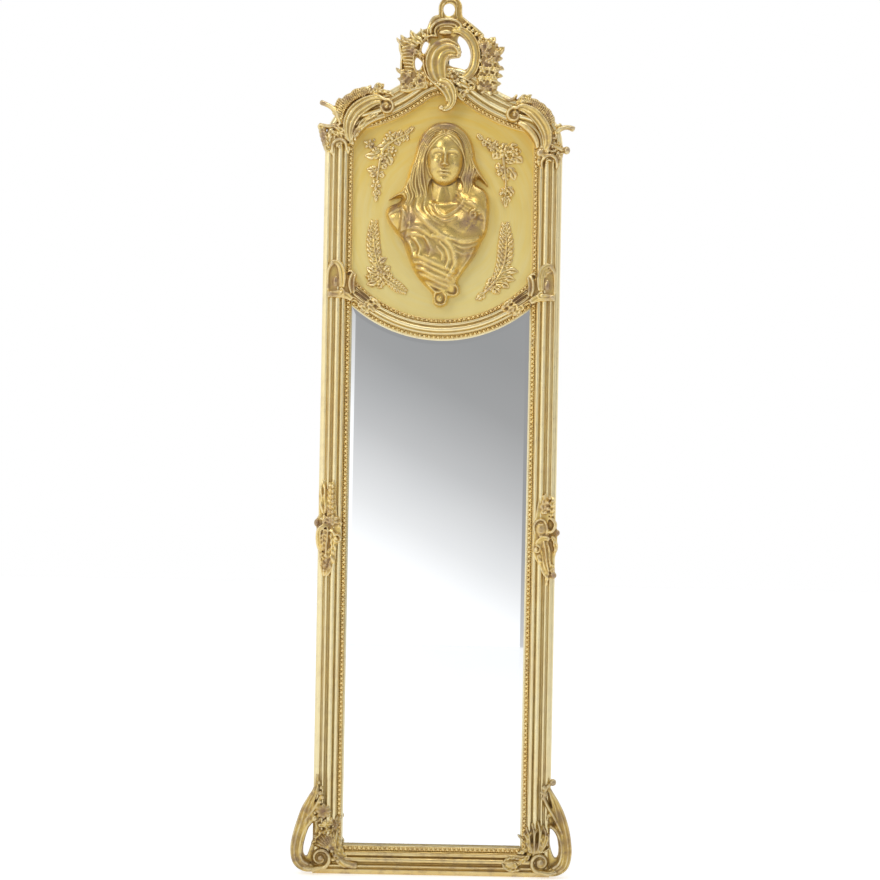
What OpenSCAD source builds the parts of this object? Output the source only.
// Tall floor mirror in a carved and gilded frame: an arched top with a relief bust on a
// panel, a bevelled glass below a hanging cross rail, and a pierced scroll crest.
// X runs to the right, Y towards the back, Z up; the origin is on the floor at the middle.

/* [Frame] */
// Width over the outer edges of the stiles
frame_w = 486; // [474:1:498]
// Height at which the arched top springs from the stiles
spring_z = 1497; // [1485:1:1507]
// Height of the arched opening at its crown
arch_z = 1598; // [1590:1:1606]
// Radius of the opening's upper corners
corner_r = 30; // [26:1:34]
// Radius of the hollow sweeps between corners and crown
sweep_r = 300; // [280:5:330]
// Radius of the opening's crown
crown_r = 62; // [56:1:68]
// Depth of the frame behind the glass seat
rebate_d = 18; // [16:0.5:22]
// Width of the rebate that holds glass and boards
rebate_w = 8; // [7:0.5:9]

/* [Moulding] */
// Width of the rounded outer edge
edge_w = 12; // [10:0.5:14]
// Width of each hollow beside the reed
hollow_w = 4.5; // [3.5:0.25:5.5]
// Width of the narrow reed
reed_w = 5; // [4:0.25:6]
// Width of the main torus
torus_w = 12; // [10:0.5:14]
// Width of each quirk beside the fillet
quirk_w = 2; // [1.5:0.25:3]
// Width of the fillet
fillet_w = 7; // [6:0.5:8]
// Width of the carved bead strip
bead_w = 9; // [8:0.5:10]
// Height of the carved bead strip over its bed
bead_h = 5.5; // [4:0.25:6.5]
// Width of the sight lip
lip_w = 1; // [0.8:0.1:1.5]
// Front of the moulding before the glass seat
face_d = 24; // [22:0.5:26]

/* [Cross rail] */
// Radius of the cross rail's upper, panel side
cross_r = 238; // [234:1:242]
// Height of the cross rail's upper side at the middle
cross_z = 1139; // [1125:1:1150]
// Width of the cross rail's torus
cross_torus_w = 10; // [8:0.5:12]
// Width of the cross rail's upper fillet
cross_fillet_w = 6; // [5:0.5:7]
// Width of the cross rail's lower fillet
cross_reed_w = 5; // [4:0.5:6]

/* [Glass and boards] */
// Thickness of the mirror glass
glass_t = 4; // [3:0.5:5]
// Width of the bevel that shows inside the sight edge
bevel_w = 8; // [6:0.5:10]
// Depth of the bevel at the glass edge
bevel_t = 1.6; // [1:0.1:2]
// Thickness of the relief panel
panel_t = 4; // [3:0.5:5]
// Thickness of the backing boards
board_t = 3; // [2.5:0.5:4]
// Gap between the boards' edges and the rebate wall
edge_gap = 1.5; // [1:0.1:2]

/* [Joinery] */
// Diameter of the frame dowels
dowel_d = 8; // [6:0.5:9]
// Length of the frame dowels
dowel_l = 40; // [30:1:44]
// Diameter of the cross rail's dowels
cross_dowel_d = 6; // [5:0.5:6.5]
// Thickness of the corner splines
spline_t = 3; // [2:0.5:4]
// Length of the corner splines across the mitre
spline_l = 28; // [20:1:32]

/* [Back fittings] */
// Width of the retaining clips
clip_w = 14; // [10:1:18]
// Thickness of the clips' sheet
clip_t = 1.2; // [1:0.1:1.5]
// Diameter of the fittings' screw shanks
screw_d = 3; // [2.5:0.1:3.5]
// Length of the screw shanks in the wood
screw_l = 8; // [6:1:10]
// Height of the hanging rings' axes
ring_z = 1330; // [1300:5:1360]
// Width of the hanger straps
strap_w = 14; // [12:0.5:16]
// Length of the hanger straps below the ring axis
strap_l = 46; // [42:1:56]
// Thickness of the hanger straps
strap_t = 1.5; // [1.2:0.1:2]
// Diameter of the ring wire
wire_d = 3; // [2.6:0.1:3.4]
// Half width of the rings between wire centres
ring_r = 11.5; // [11:0.25:13]
// Width of the crest's stay
stay_w = 16; // [12:1:20]
// Thickness of the crest's stay
stay_t = 2; // [1.5:0.25:2.5]

/* [Ornament] */
// Height of the ornaments at the middle of the stiles
mid_z = 702; // [640:5:760]
// Depth of the crest's pierced plate
crest_t = 12; // [10:0.5:13]
// Height of the bust's middle over the panel's middle
bust_lift = 8.5; // [3:0.5:14]
// Depth that the head stands out from the panel
bust_d = 56; // [50:1:62]

/* [Hidden] */

seat_y = 2;
back_y = seat_y + rebate_d;
front_y = seat_y - face_d;
rail_w = edge_w + 2*hollow_w + reed_w + torus_w + 2*quirk_w + fillet_w + bead_w + lip_w;
half_w = frame_w/2;
open_w = half_w - rail_w;
solid_w = rail_w - rebate_w;

// Fronts of the moulding's bands, counted forward from the frame's middle plane
torus_f = -front_y;
edge_f = torus_f - 16;
brow_f = torus_f - 7;
hollow_f = torus_f - 11;
quirk_f = torus_f - 9.5;
fillet_f = torus_f - 3.5;
bed_f = torus_f - 14;

// Distances of the bands from the outer edge
reed_a = edge_w + hollow_w;
torus_a = reed_a + reed_w + hollow_w;
fillet_a = torus_a + torus_w + quirk_w;
bed_a = fillet_a + fillet_w + quirk_w;
lip_a = bed_a + bead_w;

// Clearances between pieces that touch in the real frame
skin = 0.1;
seat_gap = 0.2;

// Arched opening: corner, sweep and crown are tangent arcs
corner_c = [open_w - corner_r, spring_z];
crown_c = [0, arch_z - crown_r];
corner_d = sweep_r + corner_r;
crown_d = sweep_r + crown_r;
span = norm(corner_c - crown_c);
along = (crown_d*crown_d - corner_d*corner_d + span*span)/(2*span);
aside = sqrt(crown_d*crown_d - along*along);
lean = (corner_c - crown_c)/span;
sweep_c = crown_c + along*lean + aside*[-lean[1], lean[0]];
corner_a = atan2(sweep_c[1] - corner_c[1], sweep_c[0] - corner_c[0]);
crown_a = atan2(sweep_c[1] - crown_c[1], sweep_c[0] - crown_c[0]);
crest_z = arch_z + rail_w;

// Cross rail: an arc about a centre high in the panel
cross_bead_w = 8;
cross_low_bead_w = 7;
cross_c = cross_z + cross_r;
cross_fillet_a = lip_w + cross_bead_w;
cross_torus_a = cross_fillet_a + cross_fillet_w + quirk_w;
cross_reed_a = cross_torus_a + cross_torus_w;
cross_low_a = cross_reed_a + cross_reed_w + quirk_w;
cross_w = cross_low_a + cross_low_bead_w + lip_w;
cross_mid_r = cross_r + cross_w/2;
panel_mid = (cross_z + arch_z)/2;
strap_z = cross_c - sqrt(cross_mid_r*cross_mid_r - open_w*open_w);

board_y = seat_y + glass_t;
clip_y = board_y + board_t;
screw_in = back_y - screw_l;
axis_y = back_y + strap_t + 0.3 + wire_d/2;
ring_x = half_w - solid_w/2;
wire_bend = 3;
ring_leg = 6;

// Points of an arc about c from angle a0 to a1 in n steps
function arc(c, r, a0, a1, n) =
    [for (i = [0 : n]) let (a = a0 + (a1 - a0)*i/n) [c[0] + r*cos(a), c[1] + r*sin(a)]];

// Smooth curve through the rows of p, with n steps from row to row
function blend4(a, b, c, d, t) =
    0.5*(2*b + (c - a)*t + (2*a - 5*b + 4*c - d)*t*t + (3*b - a - 3*c + d)*t*t*t);
function smooth(p, n) = [for (i = [0 : len(p) - 2]) for (k = [0 : n - 1])
    blend4(p[max(i - 1, 0)], p[i], p[i + 1], p[min(i + 2, len(p) - 1)], k/n), p[len(p) - 1]];
function smooth_loop(p, n) = [for (i = [0 : len(p) - 1]) for (k = [0 : n - 1])
    blend4(p[(i + len(p) - 1) % len(p)], p[i], p[(i + 1) % len(p)], p[(i + 2) % len(p)], k/n)];

// Rows of a spiral that winds in from radius r: [across, up, half width, rise]
function volute(c, r, w, rise, a0, turn, n = 6) = [for (i = [0 : n])
    let (t = i/n, a = a0 + turn*t, q = r*(1 - 0.62*t))
    [c[0] + q*cos(a), c[1] + q*sin(a), w*(1 - 0.45*t), rise*(1 - 0.15*t)]];

// Right half of the arched line that lies o outside the opening
function arch_half(o, n = 6) = concat(
    arc(corner_c, corner_r + o, 0, corner_a, 2*n),
    arc(sweep_c, sweep_r - o, corner_a + 180, crown_a + 180, n),
    arc(crown_c, crown_r + o, crown_a, 90, n));
function flip(p) = [for (i = [len(p) - 1 : -1 : 0]) [-p[i][0], p[i][1]]];
function whole_arch(o, n = 6) = concat(arch_half(o, n), flip(arch_half(o, n)));

// Outer line of the moulding: back, edge, front bands, lip and rebate, as [from edge, forward]
function moulding() = concat(
    [[0, -back_y]],
    [for (i = [0 : 6]) let (a = 90*i/6)
        [(edge_w - 1)*(1 - cos(a)), edge_f + (brow_f - edge_f)*sin(a)]],
    [[edge_w, brow_f], [edge_w + 0.6, hollow_f], [reed_a - 0.4, hollow_f]],
    arc([reed_a + reed_w/2, fillet_f - reed_w/2], reed_w/2, 180, 0, 6),
    [[torus_a - hollow_w + 0.4, hollow_f], [torus_a, hollow_f]],
    arc([torus_a + torus_w/2, torus_f - torus_w/2], torus_w/2, 180, 0, 10),
    [[torus_a + torus_w, quirk_f], [fillet_a, quirk_f], [fillet_a, fillet_f - 1.2],
     [fillet_a + 1, fillet_f], [fillet_a + fillet_w - 1, fillet_f],
     [fillet_a + fillet_w, fillet_f - 1.2], [fillet_a + fillet_w, quirk_f],
     [bed_a, quirk_f], [bed_a, bed_f], [lip_a, bed_f], [rail_w, bed_f - lip_w],
     [rail_w, -seat_y], [solid_w, -seat_y], [solid_w, -back_y]]);

// The cross rail's line, counted from its panel side
function cross_moulding() = concat(
    [[0, -seat_y], [0, bed_f - lip_w], [lip_w, bed_f], [cross_fillet_a, bed_f],
     [cross_fillet_a, fillet_f - 1.2], [cross_fillet_a + 1, fillet_f],
     [cross_fillet_a + cross_fillet_w - 1, fillet_f],
     [cross_fillet_a + cross_fillet_w, fillet_f - 1.2],
     [cross_fillet_a + cross_fillet_w, quirk_f], [cross_torus_a, quirk_f]],
    arc([cross_torus_a + cross_torus_w/2, torus_f - 1.5 - cross_torus_w/2],
        cross_torus_w/2, 180, 0, 10),
    [[cross_reed_a, fillet_f - 2], [cross_reed_a + 0.8, fillet_f - 1],
     [cross_reed_a + cross_reed_w - 0.8, fillet_f - 1],
     [cross_reed_a + cross_reed_w, fillet_f - 2], [cross_reed_a + cross_reed_w, quirk_f],
     [cross_low_a, quirk_f], [cross_low_a, bed_f], [cross_w - lip_w, bed_f],
     [cross_w, bed_f - lip_w], [cross_w, -seat_y], [cross_w - rebate_w, -seat_y],
     [cross_w - rebate_w, -back_y], [rebate_w, -back_y], [rebate_w, -seat_y]]);

// Line of a carved bead strip of width w on its bed
function bead_line(w) = concat([[0, bed_f]],
    [for (i = [0 : 8]) let (a = 180 - 180*i/8)
        [w/2 + w/2*cos(a), bed_f + 1 + (bead_h - 1)*sin(a)]], [[w, bed_f]]);

// Lays a drawing in the frame's plane, with its back at y and its front h nearer the viewer
module face(y, h) translate([0, y, 0]) rotate([90, 0, 0]) linear_extrude(h) children();

// Turns a line [radius, forward] about the centre c, from angle a0 to a1, less a glue line
glue_a = 0.02;
module turned(c, a0, a1) translate([c[0], 0, c[1]]) rotate([90, 0, 0]) rotate([0, 0, a0 + glue_a])
    rotate_extrude(angle = a1 - a0 - 2*glue_a, $fn = 160) children();

module mirrored() mirror([1, 0, 0]) children();

// Origin at the left or right stile's outer edge, with X towards the middle
module at_left(z) translate([-half_w, 0, z]) children();
module at_right(z) mirror([1, 0, 0]) at_left(z) children();

module mitre_cut() face(back_y + 1, back_y - front_y + 4)
    polygon([[-half_w - 1, -1], [-half_w + rail_w + 1, -1], [-half_w + rail_w + 1, rail_w + 1]]);

module splines(s) for (side = s) translate([side*(half_w - rail_w/2), seat_y + rebate_d*0.6,
    rail_w/2]) rotate([0, side*45, 0])
    cube([spline_l, spline_t, spline_l*0.6], center = true);

// Places of the retaining clips: [across, up, direction of the clip's plate]
stile_clips = [for (z = [180, 480, 800, 1060]) [half_w - solid_w, z, 0]];
panel_clips = [for (z = [1290, 1430]) [half_w - solid_w, z, 0]];
rail_clips = [[100, solid_w, -90]];
function on_cross(r, a) = [r*cos(a), cross_c + r*sin(a)];
cross_clip_a = -76;
function curved_seat(r) = sqrt(r*r - clip_w*clip_w/4);
corner_clip_r = curved_seat(corner_r + rebate_w);
corner_clip = [corner_c[0] + corner_clip_r*cos(45), corner_c[1] + corner_clip_r*sin(45), 45];
function cross_clips() = [
    concat(on_cross(curved_seat(cross_r + rebate_w), cross_clip_a), [cross_clip_a]),
    concat(on_cross(cross_r + cross_w - rebate_w, cross_clip_a + 5), [cross_clip_a + 185])];
all_clips = concat(stile_clips, panel_clips, rail_clips, cross_clips(), [corner_clip]);

clip_screw_a = 8;
screw_head_d = 6;
screw_head_t = 2;
module clip_place(c) translate([c[0], 0, c[1]]) rotate([0, -c[2], 0]) children();
module clip_pair(c) {
    clip_place(c) children();
    mirrored() clip_place(c) children();
}
module pilot(y0, y1, d) translate([0, y1, 0]) rotate([90, 0, 0])
    cylinder(d = d, h = y1 - y0, $fn = 32);
module clip_pilots(list) for (c = list) clip_place(c) translate([clip_screw_a, 0, 0])
    pilot(screw_in, back_y + 1, screw_d);

hanger_screw_z = [-27.5, -strap_l + 6];
module hanger_pilots(y1) for (dz = hanger_screw_z) translate([ring_x, 0, ring_z + dz])
    pilot(screw_in, y1, screw_d);

module cross_dowel() translate([open_w - 10, back_y - 9, strap_z]) rotate([0, 90, 0])
    cylinder(d = cross_dowel_d, h = 28, $fn = 32);
module spring_dowels() for (d = [14, 38]) translate([half_w - d, 6, spring_z - dowel_l/2])
    cylinder(d = dowel_d, h = dowel_l, $fn = 32);
module crown_dowels() for (o = [20, 42]) translate([-dowel_l/2, 6, arch_z + o])
    rotate([0, 90, 0]) cylinder(d = dowel_d, h = dowel_l, $fn = 32);

stay_low = 34;
stay_high = 62;
stay_screw_low = crest_z - stay_low + 10;
stay_screw_high = crest_z + stay_high - 10;
crest_back = seat_y - 4;
module stay_pilots() {
    translate([0, 0, stay_screw_low]) pilot(screw_in, back_y + 1, screw_d);
    translate([0, 0, stay_screw_high]) pilot(crest_back - screw_l, crest_back + 1, screw_d);
}

module right_stile_body() difference() {
    linear_extrude(spring_z) polygon([for (p = moulding()) [half_w - p[0], -p[1]]]);
    mirrored() mitre_cut();
    splines([1]);
    cross_dowel();
    spring_dowels();
    clip_pilots(concat(stile_clips, panel_clips));
    hanger_pilots(back_y + 1);
}
module left_stile() color([0.83, 0.68, 0.36]) mirrored() right_stile_body();
module right_stile() color([0.83, 0.68, 0.36]) right_stile_body();

module bottom_rail() color([0.80, 0.65, 0.34]) difference() {
    translate([-half_w, 0, 0]) rotate([90, 0, 90]) linear_extrude(frame_w)
        polygon([for (p = moulding()) [-p[1], p[0]]]);
    for (side = [0, 1]) mirror([side, 0, 0]) face(back_y + 1, back_y - front_y + 4)
        polygon([[-half_w - 1, -1], [-half_w - 1, rail_w + 1], [-half_w + rail_w + 1, rail_w + 1]]);
    splines([-1, 1]);
    clip_pilots(rail_clips);
    mirrored() clip_pilots(rail_clips);
}

module arch_half_body() difference() {
    union() {
        turned(corner_c, 0, corner_a)
            polygon([for (p = moulding()) [corner_r + rail_w - p[0], p[1]]]);
        turned(sweep_c, crown_a + 180, corner_a + 180)
            polygon([for (p = moulding()) [sweep_r - rail_w + p[0], p[1]]]);
        turned(crown_c, crown_a, 90)
            polygon([for (p = moulding()) [crown_r + rail_w - p[0], p[1]]]);
    }
    spring_dowels();
    crown_dowels();
    clip_pilots([corner_clip]);
    stay_pilots();
}
module arch_rail_left() color([0.85, 0.69, 0.35]) mirrored() arch_half_body();
module arch_rail_right() color([0.85, 0.69, 0.35]) arch_half_body();

cross_sweep = 56;
module cross_rail() color([0.83, 0.67, 0.34]) difference() {
    turned([0, cross_c], -90 - cross_sweep, -90 + cross_sweep)
        polygon([for (p = cross_moulding()) [cross_r + p[0], p[1]]]);
    for (side = [0, 1]) mirror([side, 0, 0]) {
        translate([open_w, front_y - 2, cross_c - 2*cross_r])
            cube([2*cross_r, back_y - front_y + 4, 2*cross_r]);
        cross_dowel();
        clip_pilots(cross_clips());
    }
}

// Blocks that fill the stiles' rebates behind the cross rail's ends
glass_top_r = cross_r + cross_w - rebate_w + edge_gap;
panel_low_r = cross_r + rebate_w - edge_gap;
glass_side = open_w + rebate_w - edge_gap;
block_low = cross_c - sqrt(glass_top_r*glass_top_r - glass_side*glass_side) + 0.5;
block_high = cross_c - sqrt(panel_low_r*panel_low_r - open_w*open_w) - 0.5;
module rail_block() difference() {
    translate([open_w, seat_y, block_low])
        cube([rebate_w - skin, rebate_d, block_high - block_low]);
    cross_dowel();
}
module rail_blocks() color([0.74, 0.60, 0.42]) {
    rail_block();
    mirrored() rail_block();
}

module stile_bead() linear_extrude(spring_z - bed_a)
    polygon([for (p = bead_line(bead_w)) [half_w - bed_a - p[0], -p[1]]]);
module right_bead() difference() {
    translate([0, 0, bed_a]) stile_bead();
    mirrored() mitre_cut();
}
module bead_left() color([0.78, 0.62, 0.33]) mirrored() right_bead();
module bead_right() color([0.78, 0.62, 0.33]) right_bead();
module bead_bottom() color([0.78, 0.62, 0.33]) difference() {
    translate([-open_w - bead_w - lip_w, 0, 0]) rotate([90, 0, 90])
        linear_extrude(2*(open_w + bead_w + lip_w))
        polygon([for (p = bead_line(bead_w)) [-p[1], bed_a + p[0]]]);
    for (side = [0, 1]) mirror([side, 0, 0]) face(back_y + 1, back_y - front_y + 4)
        polygon([[-half_w - 1, -1], [-half_w - 1, rail_w + 1], [-half_w + rail_w + 1, rail_w + 1]]);
}
module arch_bead() {
    turned(corner_c, 0, corner_a)
        polygon([for (p = bead_line(bead_w)) [corner_r + lip_w + p[0], p[1]]]);
    turned(sweep_c, crown_a + 180, corner_a + 180)
        polygon([for (p = bead_line(bead_w)) [sweep_r - lip_w - bead_w + p[0], p[1]]]);
    turned(crown_c, crown_a, 90)
        polygon([for (p = bead_line(bead_w)) [crown_r + lip_w + p[0], p[1]]]);
}
module bead_arch_left() color([0.78, 0.62, 0.33]) mirrored() arch_bead();
module bead_arch_right() color([0.78, 0.62, 0.33]) arch_bead();

module cross_bead(r, w) intersection() {
    turned([0, cross_c], -90 - cross_sweep, -90 + cross_sweep)
        polygon([for (p = bead_line(w)) [r + p[0], p[1]]]);
    face(seat_y, face_d + 2) square([2*open_w, 4*open_w + 2*cross_c], center = true);
}
module bead_cross_upper() color([0.78, 0.62, 0.33]) cross_bead(cross_r + lip_w, cross_bead_w);
module bead_cross_lower() color([0.78, 0.62, 0.33])
    cross_bead(cross_r + cross_low_a, cross_low_bead_w);

// Outline of glass or board below the cross rail, drawn in by g from the rebate wall
function low_outline(g) = let (w = open_w + rebate_w - g, r = cross_r + cross_w - rebate_w + g,
    a = acos(w/r)) concat([[-w, solid_w + g], [w, solid_w + g]],
    arc([0, cross_c], r, -a, -180 + a, 40));
module bevel_bar(l) translate([-l/2, seat_y, 0]) rotate([90, 0, 90]) linear_extrude(l)
    polygon([[-1, -1], [-1, 2*bevel_w], [0, 2*bevel_w], [bevel_t + bevel_t/(2*bevel_w), -1]]);
module mirror_glass() color([0.86, 0.89, 0.90]) difference() {
    face(seat_y + glass_t, glass_t) polygon(low_outline(edge_gap));
    translate([0, 0, solid_w + edge_gap]) bevel_bar(frame_w);
    for (side = [-1, 1]) translate([side*(open_w + rebate_w - edge_gap), 0, cross_c/2])
        rotate([0, -side*90, 0]) bevel_bar(2*cross_c);
    turned([0, cross_c], -90 - cross_sweep, -90 + cross_sweep)
        translate([cross_r + cross_w - rebate_w + edge_gap, -seat_y])
        polygon([[-2, 1], [2*bevel_w, 1], [2*bevel_w, 0], [-2, -bevel_t - bevel_t/bevel_w]]);
}
module mirror_backing() color([0.52, 0.38, 0.24])
    face(clip_y, board_t) polygon(low_outline(edge_gap + 0.5));

function panel_outline(g) = let (w = open_w + rebate_w - g, r = cross_r + rebate_w - g,
    a = acos(w/r)) concat(whole_arch(rebate_w - g, 6),
    arc([0, cross_c], r, -180 + a, -a, 40));
module relief_panel() color([0.86, 0.72, 0.36])
    face(seat_y + panel_t, panel_t) polygon(panel_outline(edge_gap));
module panel_backing() color([0.52, 0.38, 0.24])
    face(seat_y + panel_t + board_t, board_t) polygon(panel_outline(edge_gap + 0.5));

// A bent clip: its foot presses on the board and its plate is screwed to the frame
module clip() translate([0, 0, -clip_w/2]) linear_extrude(clip_w) polygon([
    [-12, clip_y], [-clip_t - skin, clip_y], [-skin, clip_y], [-skin, back_y], [14, back_y],
    [14, back_y + clip_t], [-clip_t - skin, back_y + clip_t], [-clip_t - skin, clip_y + clip_t],
    [-12, clip_y + clip_t]]);
module retainer_clips() color([0.72, 0.72, 0.70]) for (c = all_clips) clip_pair(c)
    difference() {
        clip();
        translate([clip_screw_a, 0, 0]) pilot(back_y - 1, back_y + clip_t + 1, screw_d);
    }
module screw(y, l) {
    pilot(y - l, y, screw_d);
    pilot(y, y + screw_head_t, screw_head_d);
}
module clip_screws() color([0.75, 0.68, 0.45]) for (c = all_clips) clip_pair(c)
    translate([clip_screw_a, 0, 0]) screw(back_y + clip_t, clip_t + screw_l);

module corner_splines() color([0.70, 0.55, 0.36]) splines([-1, 1]);
module cross_dowels() color([0.76, 0.62, 0.42]) {
    cross_dowel();
    mirrored() cross_dowel();
}
module arch_dowels() color([0.76, 0.62, 0.42]) {
    spring_dowels();
    mirrored() spring_dowels();
    crown_dowels();
}

// A strap with a rolled barrel that carries the ring
module hanger_strap() difference() {
    union() {
        translate([ring_x - strap_w/2, back_y, ring_z - strap_l])
            cube([strap_w, strap_t, strap_l]);
        translate([ring_x - strap_w/2, axis_y, ring_z]) rotate([0, 90, 0])
            cylinder(r = axis_y - back_y, h = strap_w, $fn = 48);
    }
    translate([ring_x - strap_w/2 - 1, axis_y, ring_z]) rotate([0, 90, 0])
        cylinder(r = wire_d/2 + 0.08, h = strap_w + 2, $fn = 48);
    hanger_pilots(back_y + strap_t + 1);
}
module hanger_straps() color([0.72, 0.63, 0.36]) {
    hanger_strap();
    mirrored() hanger_strap();
}
module hanger_screws() color([0.75, 0.68, 0.45]) for (side = [0, 1]) mirror([side, 0, 0])
    for (dz = hanger_screw_z) translate([ring_x, 0, ring_z + dz])
        screw(back_y + strap_t, strap_t + screw_l);

module ring() translate([ring_x, axis_y, ring_z]) {
    translate([wire_bend - ring_r, 0, 0]) rotate([0, 90, 0])
        cylinder(d = wire_d, h = 2*(ring_r - wire_bend), $fn = 32);
    for (side = [0, 1]) mirror([side, 0, 0]) {
        translate([ring_r - wire_bend, 0, -wire_bend]) rotate([90, 0, 0])
            rotate_extrude(angle = 90, $fn = 48) translate([wire_bend, 0])
            circle(d = wire_d, $fn = 32);
        translate([ring_r, 0, -wire_bend - ring_leg]) cylinder(d = wire_d, h = ring_leg, $fn = 32);
    }
    translate([0, 0, -wire_bend - ring_leg]) rotate([90, 0, 0]) rotate([0, 0, 180])
        rotate_extrude(angle = 180, $fn = 64) translate([ring_r, 0]) circle(d = wire_d, $fn = 32);
}
module left_ring() color([0.76, 0.66, 0.38]) mirrored() ring();
module right_ring() color([0.76, 0.66, 0.38]) ring();

module crest_stay() color([0.30, 0.29, 0.28]) difference() {
    translate([-stay_w/2, 0, 0]) rotate([90, 0, 90]) linear_extrude(stay_w) polygon([
        [back_y, crest_z - stay_low], [back_y + stay_t, crest_z - stay_low],
        [back_y + stay_t, crest_z + stay_t + skin], [crest_back + stay_t, crest_z + stay_t + skin],
        [crest_back + stay_t, crest_z + stay_high], [crest_back, crest_z + stay_high],
        [crest_back, crest_z + skin], [back_y, crest_z + skin]]);
    translate([0, 0, stay_screw_low]) pilot(back_y - 1, back_y + stay_t + 1, screw_d);
    translate([0, 0, stay_screw_high]) pilot(crest_back - 1, crest_back + stay_t + 1, screw_d);
}
module stay_screws() color([0.32, 0.31, 0.30]) {
    translate([0, 0, stay_screw_low]) screw(back_y + stay_t, stay_t + screw_l);
    translate([0, 0, stay_screw_high]) screw(crest_back + stay_t, stay_t + screw_l);
}

// A crowned strip along a smooth curve. Each row is [across, up, half width, rise]: the back
// lies at y = back, the sides reach y = brow, and the crown rises from there.
module strip(rows, back, brow, n = 1) {
    s = smooth(rows, n);
    m = len(s) - 1;
    points = [for (i = [0 : m])
        let (d = s[min(i + 1, m)] - s[max(i - 1, 0)], l = norm([d[0], d[1]]),
            nx = -d[1]/l, nz = d[0]/l, w = s[i][2], h = s[i][3])
        for (q = [[-1, back], [-1, brow], [0, brow - h], [1, brow], [1, back]])
            [s[i][0] + q[0]*w*nx, q[1], s[i][1] + q[0]*w*nz]];
    sides = [for (i = [0 : m - 1]) for (k = [0 : 4]) let (a = 5*i + k, b = 5*i + (k + 1) % 5)
        [a, b, b + 5, a + 5]];
    polyhedron(points, concat(sides, [[for (k = [4 : -1 : 0]) k],
        [for (k = [0 : 4]) 5*m + k]]), convexity = 6);
}

// The same on a flat ground, without walls
module vein(rows, back, n = 1) {
    s = smooth(rows, n);
    m = len(s) - 1;
    points = [for (i = [0 : m])
        let (d = s[min(i + 1, m)] - s[max(i - 1, 0)], l = norm([d[0], d[1]]),
            nx = -d[1]/l, nz = d[0]/l, w = s[i][2], h = s[i][3])
        for (q = [[-1, back], [0, back - h], [1, back]])
            [s[i][0] + q[0]*w*nx, q[1], s[i][1] + q[0]*w*nz]];
    sides = [for (i = [0 : m - 1]) for (k = [0 : 2]) let (a = 3*i + k, b = 3*i + (k + 1) % 3)
        [a, b, b + 3, a + 3]];
    polyhedron(points, concat(sides, [[2, 1, 0], [3*m, 3*m + 1, 3*m + 2]]), convexity = 6);
}

// A leaf or petal of length l and width w from [x, z] in direction a, ridged along its middle
module petal(x, z, a, l, w, back, brow, rise) {
    rim = [[0, 0], [l*0.5, -w/2], [l, 0], [l*0.5, w/2]];
    levels = back == brow ? [back] : [back, brow];
    points = concat([for (y = levels) for (q = rim) [q[0], y, q[1]]],
        [[l*0.15, brow - rise*0.6, 0], [l*0.7, brow - rise, 0]]);
    translate([x, 0, z]) rotate([0, -a, 0]) hull()
        polyhedron(points, [[for (i = [0 : len(points) - 1]) i]]);
}
module petals(list, back, brow, rise) for (p = list)
    petal(p[0], p[1], p[2], p[3], p[4], back, brow, rise);

// A round bud
module bud(x, z, r, back, brow, rise) translate([x, 0, z]) hull() {
    face(back, max(back - brow, 0.2)) circle(r, $fn = 6);
    face(brow, rise) circle(r*0.4, $fn = 3);
}
// A blossom with n lobes and a bud in its middle
module blossom(x, z, r, n, back, brow, rise) {
    translate([x, 0, z]) face(back, back - brow + rise*0.4) polygon([for (i = [0 : 2*n - 1])
        let (a = 90 + 180*i/n, q = i % 2 == 0 ? r : r*0.72) [q*cos(a), q*sin(a)]]);
    bud(x, z, r*0.4, brow, brow - rise*0.3, rise*0.7);
}

// Room that the moulding takes up, cut from whatever lies on it
module moulding_room() {
    low_y = -brow_f - seat_gap;
    high_y = -torus_f - seat_gap;
    for (step = [[-seat_gap, low_y], [edge_w + 1, high_y]]) {
        off = rail_w - step[0];
        face(back_y + 1, back_y + 1 - step[1]) difference() {
            polygon(concat([[-half_w + step[0], step[0]], [half_w - step[0], step[0]]],
                whole_arch(off, 7)));
            polygon(concat([[-open_w + seat_gap, rail_w - seat_gap],
                [open_w - seat_gap, rail_w - seat_gap]], whole_arch(-seat_gap, 7)));
        }
    }
    face(back_y + 1, back_y + 1 - high_y) intersection() {
        difference() {
            translate([0, cross_c]) circle(cross_r + cross_w + 0.3, $fn = 80);
            translate([0, cross_c]) circle(cross_r - 0.3, $fn = 80);
            translate([-frame_w, cross_c]) square(2*frame_w);
        }
        square([2*open_w + 1, 4*cross_c], center = true);
    }
}

carve_back = seat_y - 4;
carve_brow = front_y - 2;
panel_y = seat_y;

// Shoulder scrolls: a broad C that winds into a volute on the arched rail
module shoulder_scroll_left() color([0.84, 0.70, 0.38]) difference() {
    at_left(spring_z) {
        strip(concat([[50, -2, 8, 6], [42, 14, 10, 8], [40, 34, 10, 9], [47, 58, 10, 10],
            [64, 79, 9, 9], [88, 90, 8, 8], [110, 90, 6, 8]],
            volute([125, 71], 17, 5, 8, 95, -420)), carve_back, carve_brow, 2);
        strip([[60, 14, 3, 5], [65, 37, 3, 6], [80, 58, 3, 6], [100, 71, 3, 6], [110, 73, 2, 5]],
            carve_back, carve_brow);
        strip([[70, 34, 2.5, 4], [88, 46, 4, 5], [112, 53, 4, 5], [128, 55, 2.5, 4]],
            carve_back, carve_brow);
        strip([[34, 30, 6, 3], [25, 50, 6, 4], [12, 68, 5.5, 4], [-3, 79, 5, 4], [-13, 79, 4, 3]],
            carve_back, carve_brow);
        petals([[30, 62, 118, 34, 17], [43, 73, 120, 26, 21], [62, 86, 112, 23, 21],
            [82, 94, 98, 23, 24], [102, 93, 72, 30, 18], [122, 86, 50, 30, 16],
            [25, 44, 160, 16, 12], [72, 88, 104, 26, 14]], carve_back, carve_brow, 4);
    }
    moulding_room();
}
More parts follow.
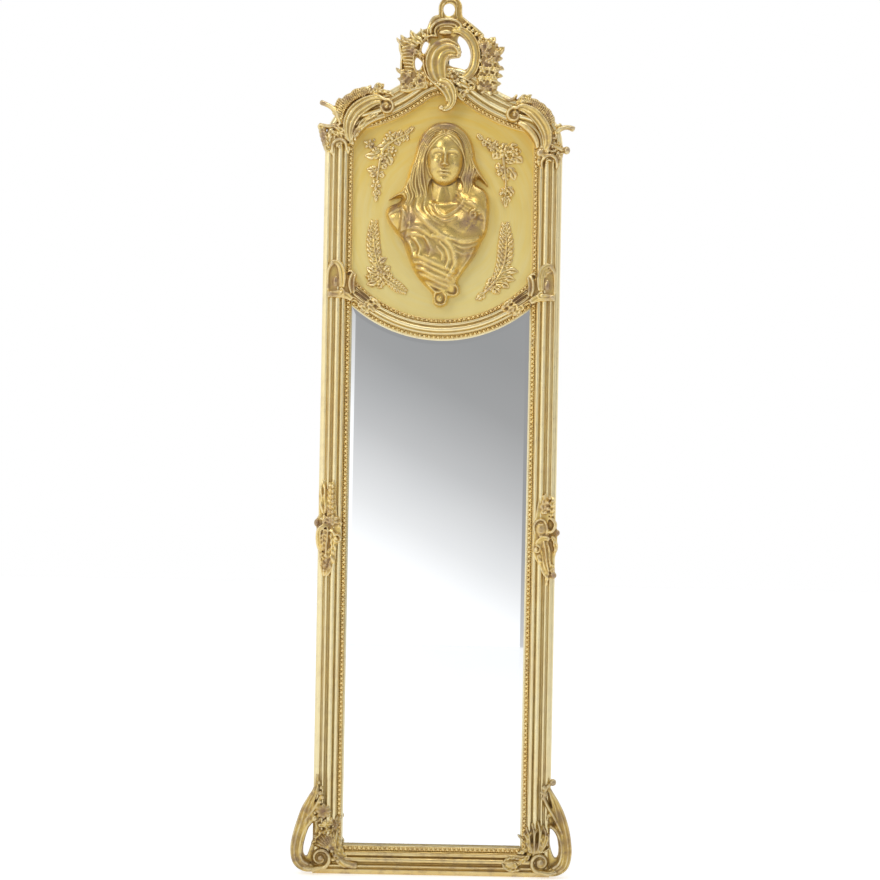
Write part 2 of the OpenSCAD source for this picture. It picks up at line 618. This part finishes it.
module shoulder_scroll_right() color([0.84, 0.70, 0.38]) difference() {
    at_right(spring_z) {
        strip(concat([[44, -9, 8, 6], [38, 12, 10, 8], [42, 34, 10, 9], [54, 54, 10, 10],
            [71, 67, 9, 9], [90, 73, 7, 8]], volute([101, 57], 17, 5, 8, 100, -420)),
            carve_back, carve_brow, 2);
        strip([[52, 8, 3, 5], [56, 28, 3, 6], [70, 45, 3, 6], [88, 52, 2.5, 5]],
            carve_back, carve_brow);
        strip([[33, 20, 6, 3], [20, 31, 6, 4], [4, 36, 6, 5], [-14, 37, 6, 5], [-26, 33, 5, 4]],
            carve_back, carve_brow);
        strip([[118, 80, 4, 4], [112, 92, 5, 4], [103, 98, 4, 4], [96, 105, 3, 3]],
            carve_back, carve_brow);
        petals([[93, 78, 84, 30, 18], [78, 78, 104, 26, 20], [62, 72, 124, 26, 20],
            [50, 60, 140, 28, 20], [40, 46, 152, 28, 18], [30, 36, 150, 22, 14],
            [68, 76, 112, 26, 14], [44, 54, 146, 26, 14]], carve_back, carve_brow, 4);
    }
    moulding_room();
}

// Capitals: leaves where the stile meets the shoulder scroll
module shoulder_capital_left() color([0.80, 0.66, 0.38]) difference() {
    at_left(spring_z) {
        strip([[28, 2, 8, 5], [14, 16, 7, 6], [0, 27, 6, 5], [-15, 34, 4, 3]],
            carve_back, carve_brow);
        strip([[-3, 22, 5, 3], [-2, 4, 6, 4], [3, -18, 3, 2]], carve_back, carve_brow);
        strip([[38, -20, 2.5, 3], [36, -4, 3, 4], [28, 3, 3, 4], [20, -4, 3, 4], [18, -20, 2.5, 3]],
            carve_back, carve_brow);
        petals([[30, -6, 250, 20, 9], [10, 10, 230, 26, 12], [10, 14, 205, 20, 10],
            [36, -8, 280, 18, 8], [24, -6, 265, 22, 8], [6, 18, 190, 20, 9],
            [14, 4, 262, 26, 9], [30, 4, 300, 18, 8]], carve_back, carve_brow, 3);
    }
    moulding_room();
}
module shoulder_capital_right() color([0.80, 0.66, 0.38]) difference() {
    at_right(spring_z) {
        strip([[26, -8, 8, 5], [14, -9, 8, 6], [0, -9, 8, 6], [-15, -9, 5, 3]],
            carve_back, carve_brow);
        strip([[-2, -16, 5, 3], [0, -32, 5, 4], [4, -52, 3, 2]], carve_back, carve_brow);
        strip([[40, -34, 2.5, 3], [38, -20, 3, 4], [29, -14, 3, 4], [20, -22, 3, 4],
            [18, -38, 2.5, 3]], carve_back, carve_brow);
        bud(47, -18, 9, carve_back, carve_brow, 5);
        petals([[28, -18, 250, 22, 9], [10, -14, 230, 24, 11], [8, -12, 160, 22, 10],
            [36, -20, 280, 20, 8], [24, -18, 265, 24, 8], [8, -14, 205, 18, 9],
            [14, -12, 262, 26, 9], [30, -14, 300, 18, 8]], carve_back, carve_brow, 3);
    }
    moulding_room();
}

// Straps that tie the cross rail to the stiles; u counts inward from the stile's outer edge
module strap_strokes() {
    strip([[13, 48, 4, 3], [17, 60, 5, 4], [30, 58, 5, 5], [43, 48, 5, 5], [50, 32, 5, 5],
        [52, 14, 5, 5], [54, 0, 5, 5], [64, -18, 6, 5], [82, -30, 6, 5], [100, -42, 5, 4],
        [118, -50, 3, 3]], carve_back, carve_brow);
    strip([[26, 34, 3, 3], [34, 32, 3, 4], [39, 20, 3, 4], [40, 6, 3, 3]],
        carve_back, carve_brow);
    strip([[12, -6, 6, 4], [24, -3, 7, 5], [38, -3, 7, 5], [52, -12, 6, 5]],
        carve_back, carve_brow);
    strip([[58, 26, 5, 4], [66, 4, 6, 5], [82, -14, 6, 5], [98, -26, 4, 4]],
        carve_back, carve_brow);
    petals([[84, -20, 330, 34, 14], [76, -26, 318, 34, 12], [92, -34, 335, 36, 12],
        [60, 20, 320, 26, 9], [20, 52, 130, 14, 9], [44, 44, 40, 14, 8], [18, -4, 230, 14, 9],
        [30, -5, 280, 13, 9], [20, 0, 140, 12, 8]], carve_back, carve_brow, 4);
}
module strap_ornament_left() color([0.82, 0.68, 0.40]) difference() {
    at_left(strap_z) strap_strokes();
    moulding_room();
}
module strap_ornament_right() color([0.82, 0.68, 0.40]) difference() {
    at_right(strap_z) strap_strokes();
    moulding_room();
}

// Rocaille knots half way up the stiles
module mid_strokes() {
    strip([[7, 108, 4, 3], [9, 92, 5, 4], [8, 70, 6, 5], [12, 46, 7, 5], [20, 22, 7, 5],
        [28, 4, 6, 5]], carve_back, carve_brow);
    strip([[30, 96, 4, 3], [30, 76, 5, 4], [27, 56, 6, 5], [30, 34, 6, 5], [38, 14, 5, 5]],
        carve_back, carve_brow);
    strip(concat([[24, 30, 4, 4], [36, 14, 5, 5]], volute([37, -17], 12, 4, 5, 60, -380)),
        carve_back, carve_brow, 2);
    strip([[6, 16, 6, 4], [4, -6, 6, 5], [8, -30, 6, 5], [10, -56, 6, 4], [9, -84, 4, 3],
        [10, -96, 3, 2]], carve_back, carve_brow);
    strip([[24, -10, 5, 4], [22, -36, 6, 5], [24, -62, 5, 4], [30, -86, 3, 3]],
        carve_back, carve_brow);
    petals([[4, 22, 180, 12, 14], [4, 0, 190, 10, 16], [6, -74, 200, 10, 12],
        [26, -40, 300, 26, 9], [14, -48, 262, 30, 10], [12, 60, 100, 30, 9],
        [24, 60, 70, 28, 9], [12, 12, 230, 20, 10]], carve_back, carve_brow, 4);
}
module mid_ornament_left() color([0.80, 0.67, 0.42]) difference() {
    at_left(mid_z) mid_strokes();
    moulding_room();
}
right_drop = 25;
module mid_ornament_right() color([0.80, 0.67, 0.42]) difference() {
    at_right(mid_z - right_drop) mid_strokes();
    moulding_room();
}

// Feet: a slender C leg beside the stile that winds into a volute on the corner
foot_back = 5;
module foot_leg(knob) {
    strip(concat([[12, 200, 5, 3], [2, 176, 7, 4], [-11, 150, 8, 5], [-24, 124, 9, 6],
        [-33, 96, 10, 6], [-36, 66, 11, 7], [-35, 40, 11, 7], [-24, 19, 11, 7], [-4, 13, 9, 7],
        [14, 16, 7, 7]], volute([23, 36], 18, 5, 7, -80, 400)), foot_back, carve_brow, 2);
    strip([[16, 160, 3, 3], [3, 132, 4, 4], [-8, 112, 4, 4], [-15, 96, 4, 4]],
        foot_back, carve_brow);
    strip([[10, 176, 3, 2], [8, 150, 5, 3], [8, 120, 6, 3], [8, 94, 6, 3], [2, 70, 5, 3],
        [-3, 48, 6, 3]], foot_back, carve_brow);
    petals([[8, 196, 110, 12, 10], [-26, 130, 150, 10, 12], [-34, 100, 160, 9, 14],
        [-30, 28, 220, 12, 16], [10, 186, 250, 16, 8], [4, 168, 240, 18, 8],
        [0, 150, 250, 18, 8], [-10, 138, 240, 18, 8]], foot_back, carve_brow, 4);
    if (knob) strip([[12, 192, 6, 3], [2, 205, 6, 4], [-7, 205, 4, 3]], foot_back, carve_brow);
}
module foot_hole() face(foot_back + 1, foot_back + face_d + 20)
    polygon(smooth_loop([[-17, 34], [-9, 36], [-4, 60], [3, 84], [5, 102], [-3, 100], [-11, 84],
        [-17, 58]], 2));
module floor_cut() translate([-frame_w, -frame_w/2, -frame_w])
    cube([2*frame_w, frame_w, frame_w + 1]);
module foot_scroll_left() color([0.78, 0.64, 0.38]) difference() {
    at_left(0) foot_leg(false);
    at_left(0) foot_hole();
    moulding_room();
    floor_cut();
    at_left(0) shell_room();
}
module foot_scroll_right() color([0.78, 0.64, 0.38]) difference() {
    at_right(0) foot_leg(true);
    at_right(0) foot_hole();
    moulding_room();
    floor_cut();
    at_right(0) shell_room();
}

// Shell fan over each foot's volute, with a leaf that runs along the bottom rail
shell_fan = [[50, 122], [48, 108], [40, 98], [30, 92], [18, 84], [8, 74], [2, 60]];
module shell_shape() polygon(concat(smooth([[1, 58], [8, 76], [20, 88], [34, 96], [46, 104],
    [52, 122], [58, 112], [58, 80], [62, 58]], 2), smooth([[74, 44], [90, 36], [102, 22],
    [98, 14], [80, 10], [60, 14], [46, 30], [46, 46], [36, 58], [22, 60]], 2)));
module shell_room() face(foot_back + 1, foot_back + face_d + 20) offset(delta = seat_gap)
    shell_shape();
module shell_body() {
    face(carve_back, carve_back - carve_brow) shell_shape();
    for (p = shell_fan) strip([[(p[0] + 22)/2 + 12, 58, 2.5, 3],
        [(p[0] + 30)/2 + 2, (p[1] + 56)/2, 3, 5], [p[0] + 3, p[1] - 4, 2.5, 4]],
        carve_back, carve_brow);
    strip([[52, 56, 5, 4], [64, 38, 6, 6], [80, 24, 6, 6], [98, 19, 3, 3]],
        carve_back, carve_brow);
    petals([[58, 70, 80, 30, 8], [56, 50, 330, 26, 9], [60, 30, 340, 30, 9],
        [70, 22, 350, 26, 8], [54, 40, 300, 22, 8], [62, 48, 320, 28, 7], [50, 62, 60, 30, 8],
        [52, 44, 20, 16, 7]], carve_back, carve_brow, 4);
}
module foot_shell_left() color([0.76, 0.63, 0.39]) difference() {
    at_left(0) shell_body();
    moulding_room();
    floor_cut();
}
module foot_shell_right() color([0.76, 0.63, 0.39]) difference() {
    at_right(0) shell_body();
    moulding_room();
    floor_cut();
}

// Crest, drawn from the crown of the arched rail: a pierced plate with its bands
crest_front = crest_back - crest_t;
crest_line = [[-92, -45], [-94, -17], [-103, -8], [-94, 3], [-98, 33], [-100, 54], [-92, 62],
    [-84, 52], [-73, 74], [-62, 60], [-46, 80], [-41, 70], [-38, 85], [-30, 99], [-19, 108],
    [-17, 126], [-9, 139], [8, 143], [24, 139], [32, 128], [32, 105], [45, 88], [61, 73],
    [77, 65], [84, 52], [99, 60], [99, 34], [119, 44], [116, 15], [127, -11], [114, -21],
    [119, -45], [112, -62]];
eye_line = [[22, 59], [31, 63], [42, 52], [50, 30], [51, 10], [45, -5], [28, -6], [11, 0],
    [8, 9], [20, 14], [30, 21], [30, 40], [23, 50]];
slot_a = [[-50, 26], [-43, 24], [-37, 40], [-38, 51], [-45, 48], [-50, 38]];
slot_b = [[-60, 24], [-54, 12], [-48, 2], [-50, -7], [-60, -7], [-63, 6]];
module crest_plate() difference() {
    face(crest_back, crest_t) difference() {
        polygon(crest_line);
        polygon(smooth_loop(eye_line, 2));
        polygon(slot_a);
        polygon(slot_b);
        translate([4, 117]) scale([12, 14]) circle(1, $fn = 16);
    }
}
module crest_bands() {
    strip([[-24, 62, 4, 4], [-29, 76, 5, 6], [-18, 90, 5, 7], [3, 96, 5, 7], [22, 92, 5, 7],
        [32, 82, 4.5, 6], [25, 76, 3, 4]], crest_back, crest_front, 2);
    strip([[-8, 68, 4, 4], [2, 78, 4.5, 5], [18, 76, 5, 6], [34, 68, 5, 7], [48, 52, 5, 8],
        [57, 28, 5, 8], [57, 6, 5, 8], [50, -14, 5, 8], [38, -26, 5, 7], [24, -30, 4, 5]],
        crest_back, crest_front, 2);
    strip([[30, 132, 3, 3], [31, 108, 3.5, 4], [43, 91, 3.5, 4], [60, 76, 3, 3]],
        crest_back, crest_front);
    strip([[-36, 84, 3, 3], [-27, 98, 3, 4], [-14, 104, 3, 4], [4, 102, 3.5, 4], [20, 104, 3, 3]],
        crest_back, crest_front);
    strip([for (a = [-40 : 25 : 235]) [4 + 15*cos(a), 117 + 17*sin(a), 3.5, 4]],
        crest_back, crest_front);
    petals([[-40, 72, 85, 13, 8], [62, 62, 60, 14, 10], [40, 80, 40, 16, 8],
        [-34, 60, 100, 14, 8], [6, 84, 90, 10, 10], [44, -30, 250, 14, 8],
        [52, -24, 280, 14, 8], [36, 84, 30, 12, 8]], crest_back, crest_front, 4);
}
module crest_cartouche() color([0.85, 0.71, 0.36]) difference() {
    translate([0, 0, crest_z]) {
        crest_plate();
        crest_bands();
    }
    moulding_room();
    translate([0, 0, stay_screw_high])
        pilot(crest_back - screw_l - skin, crest_back + 1, screw_d + 2*skin);
    crest_leaf_room();
}

// Outline of the acanthus plume, which the pierced plate leaves free below the rail's top
plume_line = [[-8, -42], [-28, -24], [-38, 2], [-37, 28], [-28, 46], [-12, 54], [6, 56],
    [20, 52], [28, 40], [29, 26], [18, 18], [6, 20], [0, 6], [4, -12], [10, -32]];
module crest_leaf_room() translate([0, 0, crest_z]) face(crest_front, 20)
    offset(delta = seat_gap) polygon(smooth_loop(plume_line, 2));
module crest_acanthus() color([0.80, 0.67, 0.38]) difference() {
    translate([0, 0, crest_z]) {
        face(crest_front - skin, 8) polygon(smooth_loop(plume_line, 2));
        intersection() {
            union() {
                strip([[-12, -36, 8, 4], [-25, -10, 9, 7], [-27, 18, 9, 9], [-17, 38, 8, 9],
                    [0, 46, 7, 9], [15, 43, 6, 8], [23, 32, 5, 7], [18, 24, 3, 5]],
                    crest_front - 2, crest_front - 8, 2);
                strip([[0, -30, 6, 4], [-6, -6, 6, 6], [-6, 12, 5, 6], [2, 24, 5, 6],
                    [12, 26, 4, 5]], crest_front - 2, crest_front - 8);
                petals([[-14, -20, 130, 26, 12], [-22, 4, 110, 26, 12], [-22, 26, 80, 26, 12],
                    [-6, 38, 50, 24, 12], [-4, -14, 100, 28, 10], [-10, 12, 60, 24, 10],
                    [2, -24, 110, 26, 10], [-14, -2, 95, 28, 9]],
                    crest_front - 2, crest_front - 8, 7);
            }
            face(crest_front, 30) polygon(smooth_loop(plume_line, 2));
        }
    }
    moulding_room();
}

// Left wing of the crest: a ribbed spine with spiky edges over small blossoms
module crest_left_rocaille() color([0.80, 0.66, 0.40]) difference() {
    translate([0, 0, crest_z]) {
        strip([[-84, -20, 6, 4], [-86, 4, 7, 5], [-86, 26, 7, 6], [-90, 44, 6, 5],
            [-96, 52, 3, 3]], crest_front - skin, crest_front - 4);
        strip([[-88, 40, 4, 4], [-72, 50, 5, 5], [-56, 58, 5, 5], [-45, 68, 4, 4]],
            crest_front - skin, crest_front - 4);
        strip([[-80, 34, 4, 3], [-70, 18, 4, 4], [-68, -4, 4, 4], [-64, -22, 4, 3]],
            crest_front - skin, crest_front - 4);
        petals([[-92, 46, 120, 16, 9], [-76, 52, 85, 20, 9], [-90, -2, 185, 13, 10],
            [-60, 54, 60, 16, 8], [-92, 22, 170, 8, 10]], crest_front - skin, crest_front - 4, 4);
        blossom(-62, -38, 15, 5, crest_front - skin, crest_front - 8, 7);
        blossom(-84, -48, 11, 5, crest_front - skin, crest_front - 8, 5);
        blossom(-40, -32, 9, 5, crest_front - skin, crest_front - 8, 5);
    }
    moulding_room();
}

// Right wing of the crest: a bouquet of blossoms and leaves
module crest_bouquet() color([0.82, 0.68, 0.38]) difference() {
    translate([0, 0, crest_z]) {
        for (b = [[79, 42, 12], [96, 20, 13], [78, 10, 12], [96, -10, 12], [78, -24, 13],
            [99, -30, 12], [92, -52, 11], [72, -46, 10]])
            blossom(b[0], b[1], b[2], 5, crest_front - skin, crest_front - 7, 8);
        petals([[92, 36, 70, 24, 11], [102, 28, 50, 20, 10], [106, 4, 0, 12, 10],
            [104, -12, 330, 20, 11], [106, -28, 300, 20, 10], [72, 52, 60, 16, 10],
            [73, 28, 100, 13, 8], [72, -8, 100, 12, 9]], crest_front - skin, crest_front - 6, 5);
    }
    moulding_room();
}

// Tongue-shaped leaf that hangs from the crest over the arched opening
drop_brow = crest_front - 12;
module crest_drop_leaf() color([0.78, 0.65, 0.42]) difference() {
    translate([0, 0, crest_z]) {
        strip([[-13, -44, 5, 4], [0, -38, 7, 6], [12, -48, 8, 7], [18, -66, 8, 7],
            [15, -84, 7, 7], [4, -92, 6, 6], [-6, -90, 4, 5]], crest_front - 2, drop_brow);
        strip([[-8, -48, 2.5, 3], [2, -58, 3, 4], [8, -72, 3, 4], [6, -82, 2.5, 3]],
            crest_front - 2, drop_brow);
        petals([[2, -44, 300, 26, 9], [8, -52, 290, 26, 8], [20, -56, 285, 22, 9],
            [16, -70, 265, 20, 9], [22, -46, 300, 20, 8], [-4, -42, 310, 20, 8],
            [12, -80, 230, 18, 8], [4, -86, 190, 16, 8]], crest_front - 2, drop_brow, 5);
    }
    moulding_room();
}

// Leaf sprays on the panel, drawn from the opening's sides; the lower ones stand on the
// cross rail where its arc is spray_z high
spray_z = cross_c - sqrt(cross_r*cross_r - pow(open_w - 70, 2));
panel_brow = panel_y - 1.5;
module sprig(rows, leaves, blooms) {
    vein(rows, panel_y);
    petals(leaves, panel_y, panel_y, 5.5);
    for (b = blooms) blossom(b[0], b[1], b[2], 5, panel_y, panel_brow, 6);
}
module spray_upper_left() color([0.80, 0.68, 0.42]) translate([-open_w, 0, spring_z])
    sprig([[122, 35, 2, 2], [100, 22, 3, 3], [76, 10, 3, 4], [54, -10, 3, 4],
        [48, -36, 3, 4], [48, -80, 3, 3], [47, -114, 2, 2]],
        [[106, 26, 20, 20, 8], [92, 14, 300, 18, 9], [80, 18, 110, 16, 9],
         [66, -2, 160, 22, 11], [54, -24, 190, 26, 13], [58, -20, 350, 26, 13],
         [52, -54, 215, 24, 12], [50, -56, 320, 20, 10], [48, -86, 230, 20, 11],
         [48, -86, 310, 20, 11], [72, -12, 20, 20, 10], [38, -10, 180, 18, 12],
         [48, -100, 270, 20, 8], [64, -36, 330, 22, 10]],
        [[50, -8, 15], [72, -4, 11], [46, -72, 11]]);
module spray_upper_right() color([0.82, 0.70, 0.42]) translate([open_w, 0, spring_z])
    sprig([[-114, 27, 2, 2], [-96, 14, 3, 3], [-76, -4, 3, 4], [-60, -24, 3, 4], [-54, -52, 3, 4],
        [-54, -86, 3, 3], [-54, -124, 2, 2]],
        [[-104, 20, 120, 16, 8], [-92, 10, 250, 18, 9], [-80, -2, 60, 18, 9],
         [-70, -14, 250, 24, 12], [-58, -16, 30, 34, 13], [-56, -28, 350, 34, 13],
         [-56, -24, 320, 30, 10], [-58, -56, 200, 20, 10], [-54, -58, 320, 22, 12],
         [-54, -86, 225, 18, 10], [-54, -86, 315, 18, 10], [-54, -106, 270, 20, 8],
         [-54, -50, 250, 24, 9], [-66, -8, 80, 18, 9]],
        [[-72, -26, 12], [-50, -12, 12], [-52, -72, 11]]);
module spray_lower_left() color([0.84, 0.74, 0.46]) translate([-open_w, 0, spray_z])
    sprig([[46, 171, 2, 2], [48, 145, 3, 3], [52, 113, 3, 4], [62, 79, 3, 4],
        [80, 57, 3, 4], [98, 39, 3, 3], [118, 25, 2, 2]],
        [[46, 149, 120, 20, 9], [48, 147, 50, 18, 8], [48, 125, 125, 24, 10],
         [52, 119, 50, 20, 9], [52, 101, 140, 24, 10], [62, 89, 60, 26, 9],
         [56, 77, 160, 38, 15], [56, 69, 190, 34, 13], [66, 61, 215, 24, 11],
         [72, 63, 70, 22, 10], [82, 55, 60, 22, 9], [86, 49, 310, 24, 9],
         [98, 41, 330, 20, 8], [34, 75, 150, 24, 12]],
        [[60, 71, 13], [34, 67, 12], [78, 59, 9]]);
laurel_tips = [[-53, 173], [-62, 147], [-44, 145], [-64, 121], [-36, 119], [-74, 105],
    [-26, 97], [-88, 85], [-20, 71], [-98, 59], [-24, 51]];
module spray_lower_right() color([0.90, 0.82, 0.55]) translate([open_w, 0, spray_z])
    sprig([[-114, 13, 4, 3], [-98, 23, 4.5, 4], [-78, 41, 4, 4], [-64, 67, 3, 4],
        [-56, 101, 3, 4], [-53, 139, 2.5, 3], [-53, 165, 2, 2]],
        [for (i = [0 : len(laurel_tips) - 1]) let (p = laurel_tips[i],
            q = [-58 - 2.2*i, 125 - 8.5*i], d = p - q)
            [q[0], q[1], atan2(d[1], d[0]), norm(d), 9]],
        [[-72, 37, 9]]);

// Draped and veiled bust with a plain face
bust_y = panel_y - 0.05;
head_c = [2, 100];
module ball(p, r, s = [1, 1, 1]) translate([p[0], p[1], p[2]]) scale(s) sphere(r, $fn = 10);
module bust_head() translate([head_c[0], bust_y - bust_d + 34, head_c[1]]) rotate([0, 3, 0]) {
    hull() {
        ball([0, 0, 12], 33, [1, 0.95, 1.05]);
        ball([0, -14, -38], 13, [1.1, 1, 0.8]);
        ball([0, -6, -20], 24, [1.05, 0.9, 1]);
    }
    hull() {
        ball([0, -31, 12], 3);
        ball([0, -36, -9], 4.5, [1.2, 1, 0.8]);
    }
    hull() {
        ball([-15, -24, 16], 4);
        ball([15, -24, 16], 4);
        ball([0, -28, 16], 4);
    }
    hull() {
        ball([-6, -28, -23], 3, [1, 1, 0.7]);
        ball([6, -28, -23], 3, [1, 1, 0.7]);
    }
}
bust_line = [[2, 165], [-24, 156], [-42, 138], [-54, 112], [-62, 84], [-74, 50], [-80, 22],
    [-66, 4], [-86, -2], [-118, -20], [-110, -48], [-88, -78], [-74, -110], [-60, -142],
    [-40, -170], [-20, -184], [-16, -206], [0, -214], [14, -202], [20, -192], [34, -186],
    [34, -170], [24, -158], [40, -140], [62, -120], [78, -90], [92, -62], [96, -24], [94, 12],
    [84, 32], [76, 54], [70, 84], [62, 118], [44, 146], [24, 160]];
module bust_body() {
    face(bust_y, 12) polygon(bust_line);
    hull() {
        ball([0, bust_y - 14, 34], 20, [1, 1, 1]);
        ball([0, bust_y - 12, -4], 24, [1.2, 1, 1]);
    }
    hull() {
        ball([-76, bust_y, -44], 28, [1, 0.9, 1]);
        ball([-40, bust_y - 6, -30], 30, [1, 1, 1]);
        ball([40, bust_y - 8, -28], 32, [1, 1, 1]);
        ball([62, bust_y, -30], 30, [1, 1, 1]);
        ball([-28, bust_y - 8, -78], 32, [1, 1, 1]);
        ball([40, bust_y - 8, -78], 34, [1, 1, 1]);
    }
    hull() {
        ball([-34, bust_y - 2, -100], 28, [1, 1, 1]);
        ball([30, bust_y - 2, -100], 30, [1, 1, 1]);
        ball([-6, bust_y, -158], 24, [1, 0.9, 1]);
    }
    hull() {
        ball([-2, bust_y, -166], 20, [1.2, 0.9, 1]);
        ball([0, bust_y, -196], 13, [1, 0.9, 1]);
    }
    hull() {
        ball([0, bust_y, -170], 12, [1, 0.9, 1]);
        ball([24, bust_y, -178], 9, [1, 0.9, 1]);
    }
}
module bust_veil() {
    head_y = bust_y - bust_d + 34;
    hull() {
        ball([4, head_y + 8, 118], 43, [1.05, 0.9, 1.05]);
        ball([-48, bust_y - 2, 40], 22);
        ball([52, bust_y - 4, 44], 22);
    }
    hull() {
        ball([-50, bust_y - 2, 44], 20);
        ball([-58, bust_y, 8], 16);
    }
    hull() {
        ball([56, bust_y - 4, 44], 22);
        ball([66, bust_y - 2, 6], 24);
    }
}
drape_back = bust_y;
module bust_folds() {
    strip([[-96, -48, 5, 4], [-60, -58, 6, 5], [-26, -66, 6, 5], [10, -78, 7, 5],
        [50, -80, 6, 5], [84, -68, 5, 4]], drape_back, bust_y - 36);
    strip([[44, 4, 5, 4], [66, -4, 5, 5], [80, -20, 5, 5], [84, -44, 4, 4]],
        drape_back, bust_y - 30);
    for (i = [0 : 3]) strip([[-56 + 8*i, -104 - 15*i, 4, 3], [-16 + 4*i, -114 - 15*i, 5, 4],
        [34 - 4*i, -110 - 14*i, 4, 3]], drape_back, bust_y - 28 + 2*i);
    strip([[-70, 20, 3, 2], [-94, 16, 3, 2], [-112, 6, 2, 1]], drape_back, bust_y - 8);
    strip([[66, 80, 4, 2], [80, 58, 3, 2], [90, 38, 2, 1]], drape_back, bust_y - 8);
}
module bust() color([0.78, 0.66, 0.46]) translate([0, 0, panel_mid + bust_lift]) intersection() {
    union() {
        difference() {
            bust_veil();
            translate([head_c[0], bust_y - bust_d - 6, head_c[1] - 2]) hull() {
                ball([0, 0, 18], 31);
                ball([0, 10, -70], 30);
            }
        }
        bust_head();
        bust_body();
        bust_folds();
    }
    translate([-half_w, bust_y - 100, -cross_r]) cube([frame_w, 100, 2*cross_r]);
}

left_stile();
right_stile();
bottom_rail();
arch_rail_left();
arch_rail_right();
cross_rail();
bead_left();
bead_right();
bead_bottom();
bead_arch_left();
bead_arch_right();
bead_cross_upper();
bead_cross_lower();
mirror_glass();
mirror_backing();
relief_panel();
panel_backing();
retainer_clips();
clip_screws();
corner_splines();
rail_blocks();
cross_dowels();
arch_dowels();
hanger_straps();
hanger_screws();
left_ring();
right_ring();
crest_stay();
stay_screws();
bust();
spray_upper_left();
spray_upper_right();
spray_lower_left();
spray_lower_right();
crest_cartouche();
crest_acanthus();
crest_left_rocaille();
crest_bouquet();
crest_drop_leaf();
shoulder_scroll_left();
shoulder_scroll_right();
shoulder_capital_left();
shoulder_capital_right();
strap_ornament_left();
strap_ornament_right();
mid_ornament_left();
mid_ornament_right();
foot_scroll_left();
foot_scroll_right();
foot_shell_left();
foot_shell_right();
